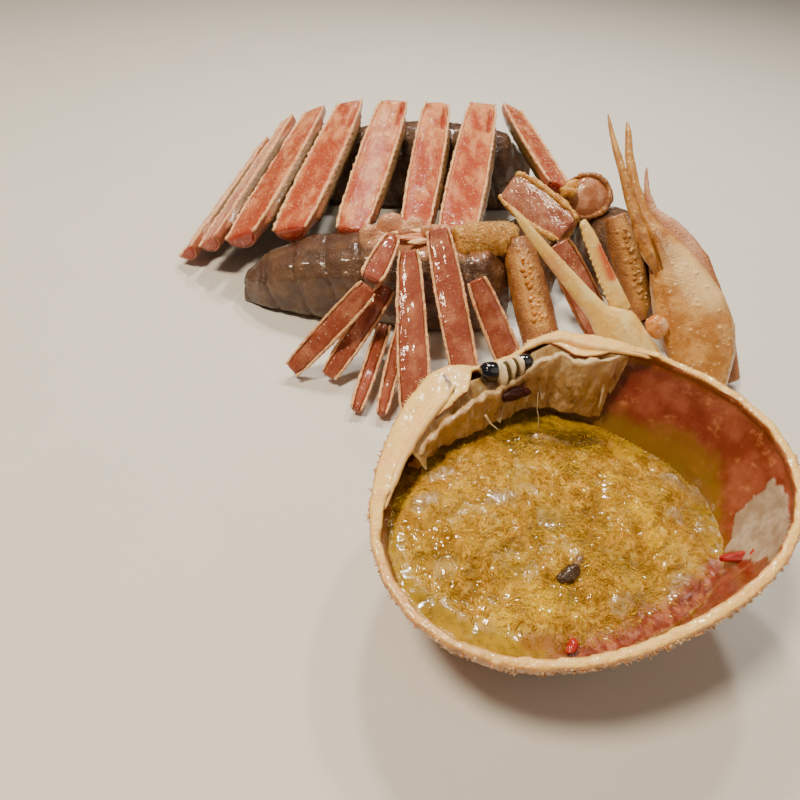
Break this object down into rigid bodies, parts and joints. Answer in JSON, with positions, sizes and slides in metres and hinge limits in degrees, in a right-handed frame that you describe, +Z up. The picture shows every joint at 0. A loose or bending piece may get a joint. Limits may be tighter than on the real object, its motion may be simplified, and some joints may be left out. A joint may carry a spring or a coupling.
{
  "type": "split snow crab, laid out",
  "caption": "A snow crab taken apart and laid out: its shell as a filled bowl, split legs in a fan and a row, and the claws heaped at one side.",
  "frame": {"origin": "on the floor, under the middle of the whole layout's box", "axes": "+Z up, +Y away from the viewer along the leg row, +X to the viewer's right"},
  "size_m": [0.3075, 0.3937, 0.1024],
  "materials": {
    "shell_cream": "cream to pinkish orange shell, finely granular",
    "shell_brown": "olive brown outer shell of the legs, wet",
    "shell_orange": "orange brown granular shell of the arms",
    "flesh": "raw pink red leg flesh, wet and translucent",
    "claw_ivory": "ivory yellow claw shell",
    "claw_tan": "tan claw shell with pale tubercles",
    "body": "pinkish body wall and flesh",
    "contents": "mustard ochre shell contents, wet",
    "membrane": "whitish brown membrane",
    "cornea": "glossy black cornea on a banded stalk"
  },
  "bodies": {
    "root": {"carapace": "shell_cream", "carapace_filling": "contents", "mouth_frame": "membrane", "eye_left": "cornea", "eye_right": "cornea", "claw_a_palm": "claw_ivory", "claw_a_finger": "claw_ivory", "claw_a_wrist": "shell_orange", "claw_b_palm": "claw_tan", "claw_b_finger": "claw_tan", "claw_b_inner": "flesh", "arm_a_shell": "shell_orange", "arm_a_flesh": "flesh", "arm_b_shell": "shell_orange", "arm_b_flesh": "flesh", "wrist_a_shell": "shell_orange", "wrist_a_flesh": "flesh", "wrist_b_shell": "shell_orange", "wrist_b_flesh": "flesh", "arm_a_inner_shell": "shell_brown", "arm_a_inner_flesh": "flesh", "arm_a_joint": "shell_orange", "arm_a_base": "shell_brown", "arm_b_base": "shell_brown", "body_near": "body", "body_far": "body", "merus_1_shell": "shell_brown", "merus_1_flesh": "flesh", "merus_2_shell": "shell_brown", "merus_2_flesh": "flesh", "merus_3_shell": "shell_brown", "merus_3_flesh": "flesh", "merus_4_shell": "shell_brown", "merus_4_flesh": "flesh", "merus_5_shell": "shell_brown", "merus_5_flesh": "flesh", "merus_6_shell": "shell_brown", "merus_6_flesh": "flesh", "merus_7_shell": "shell_brown", "merus_7_flesh": "flesh", "merus_8_shell": "shell_brown", "merus_8_flesh": "flesh", "shin_1_shell": "shell_cream", "shin_1_flesh": "flesh", "shin_2_shell": "shell_cream", "shin_2_flesh": "flesh", "shin_3_shell": "shell_cream", "shin_3_flesh": "flesh", "shin_4_shell": "shell_cream", "shin_4_flesh": "flesh", "shin_5_shell": "shell_cream", "shin_5_flesh": "flesh", "shin_6_shell": "shell_cream", "shin_6_flesh": "flesh", "shin_7_shell": "shell_cream", "shin_7_flesh": "flesh", "shin_8_shell": "shell_cream", "shin_8_flesh": "flesh", "carpus_1_shell": "shell_cream", "carpus_1_flesh": "flesh"}
  },
  "joints": []
}
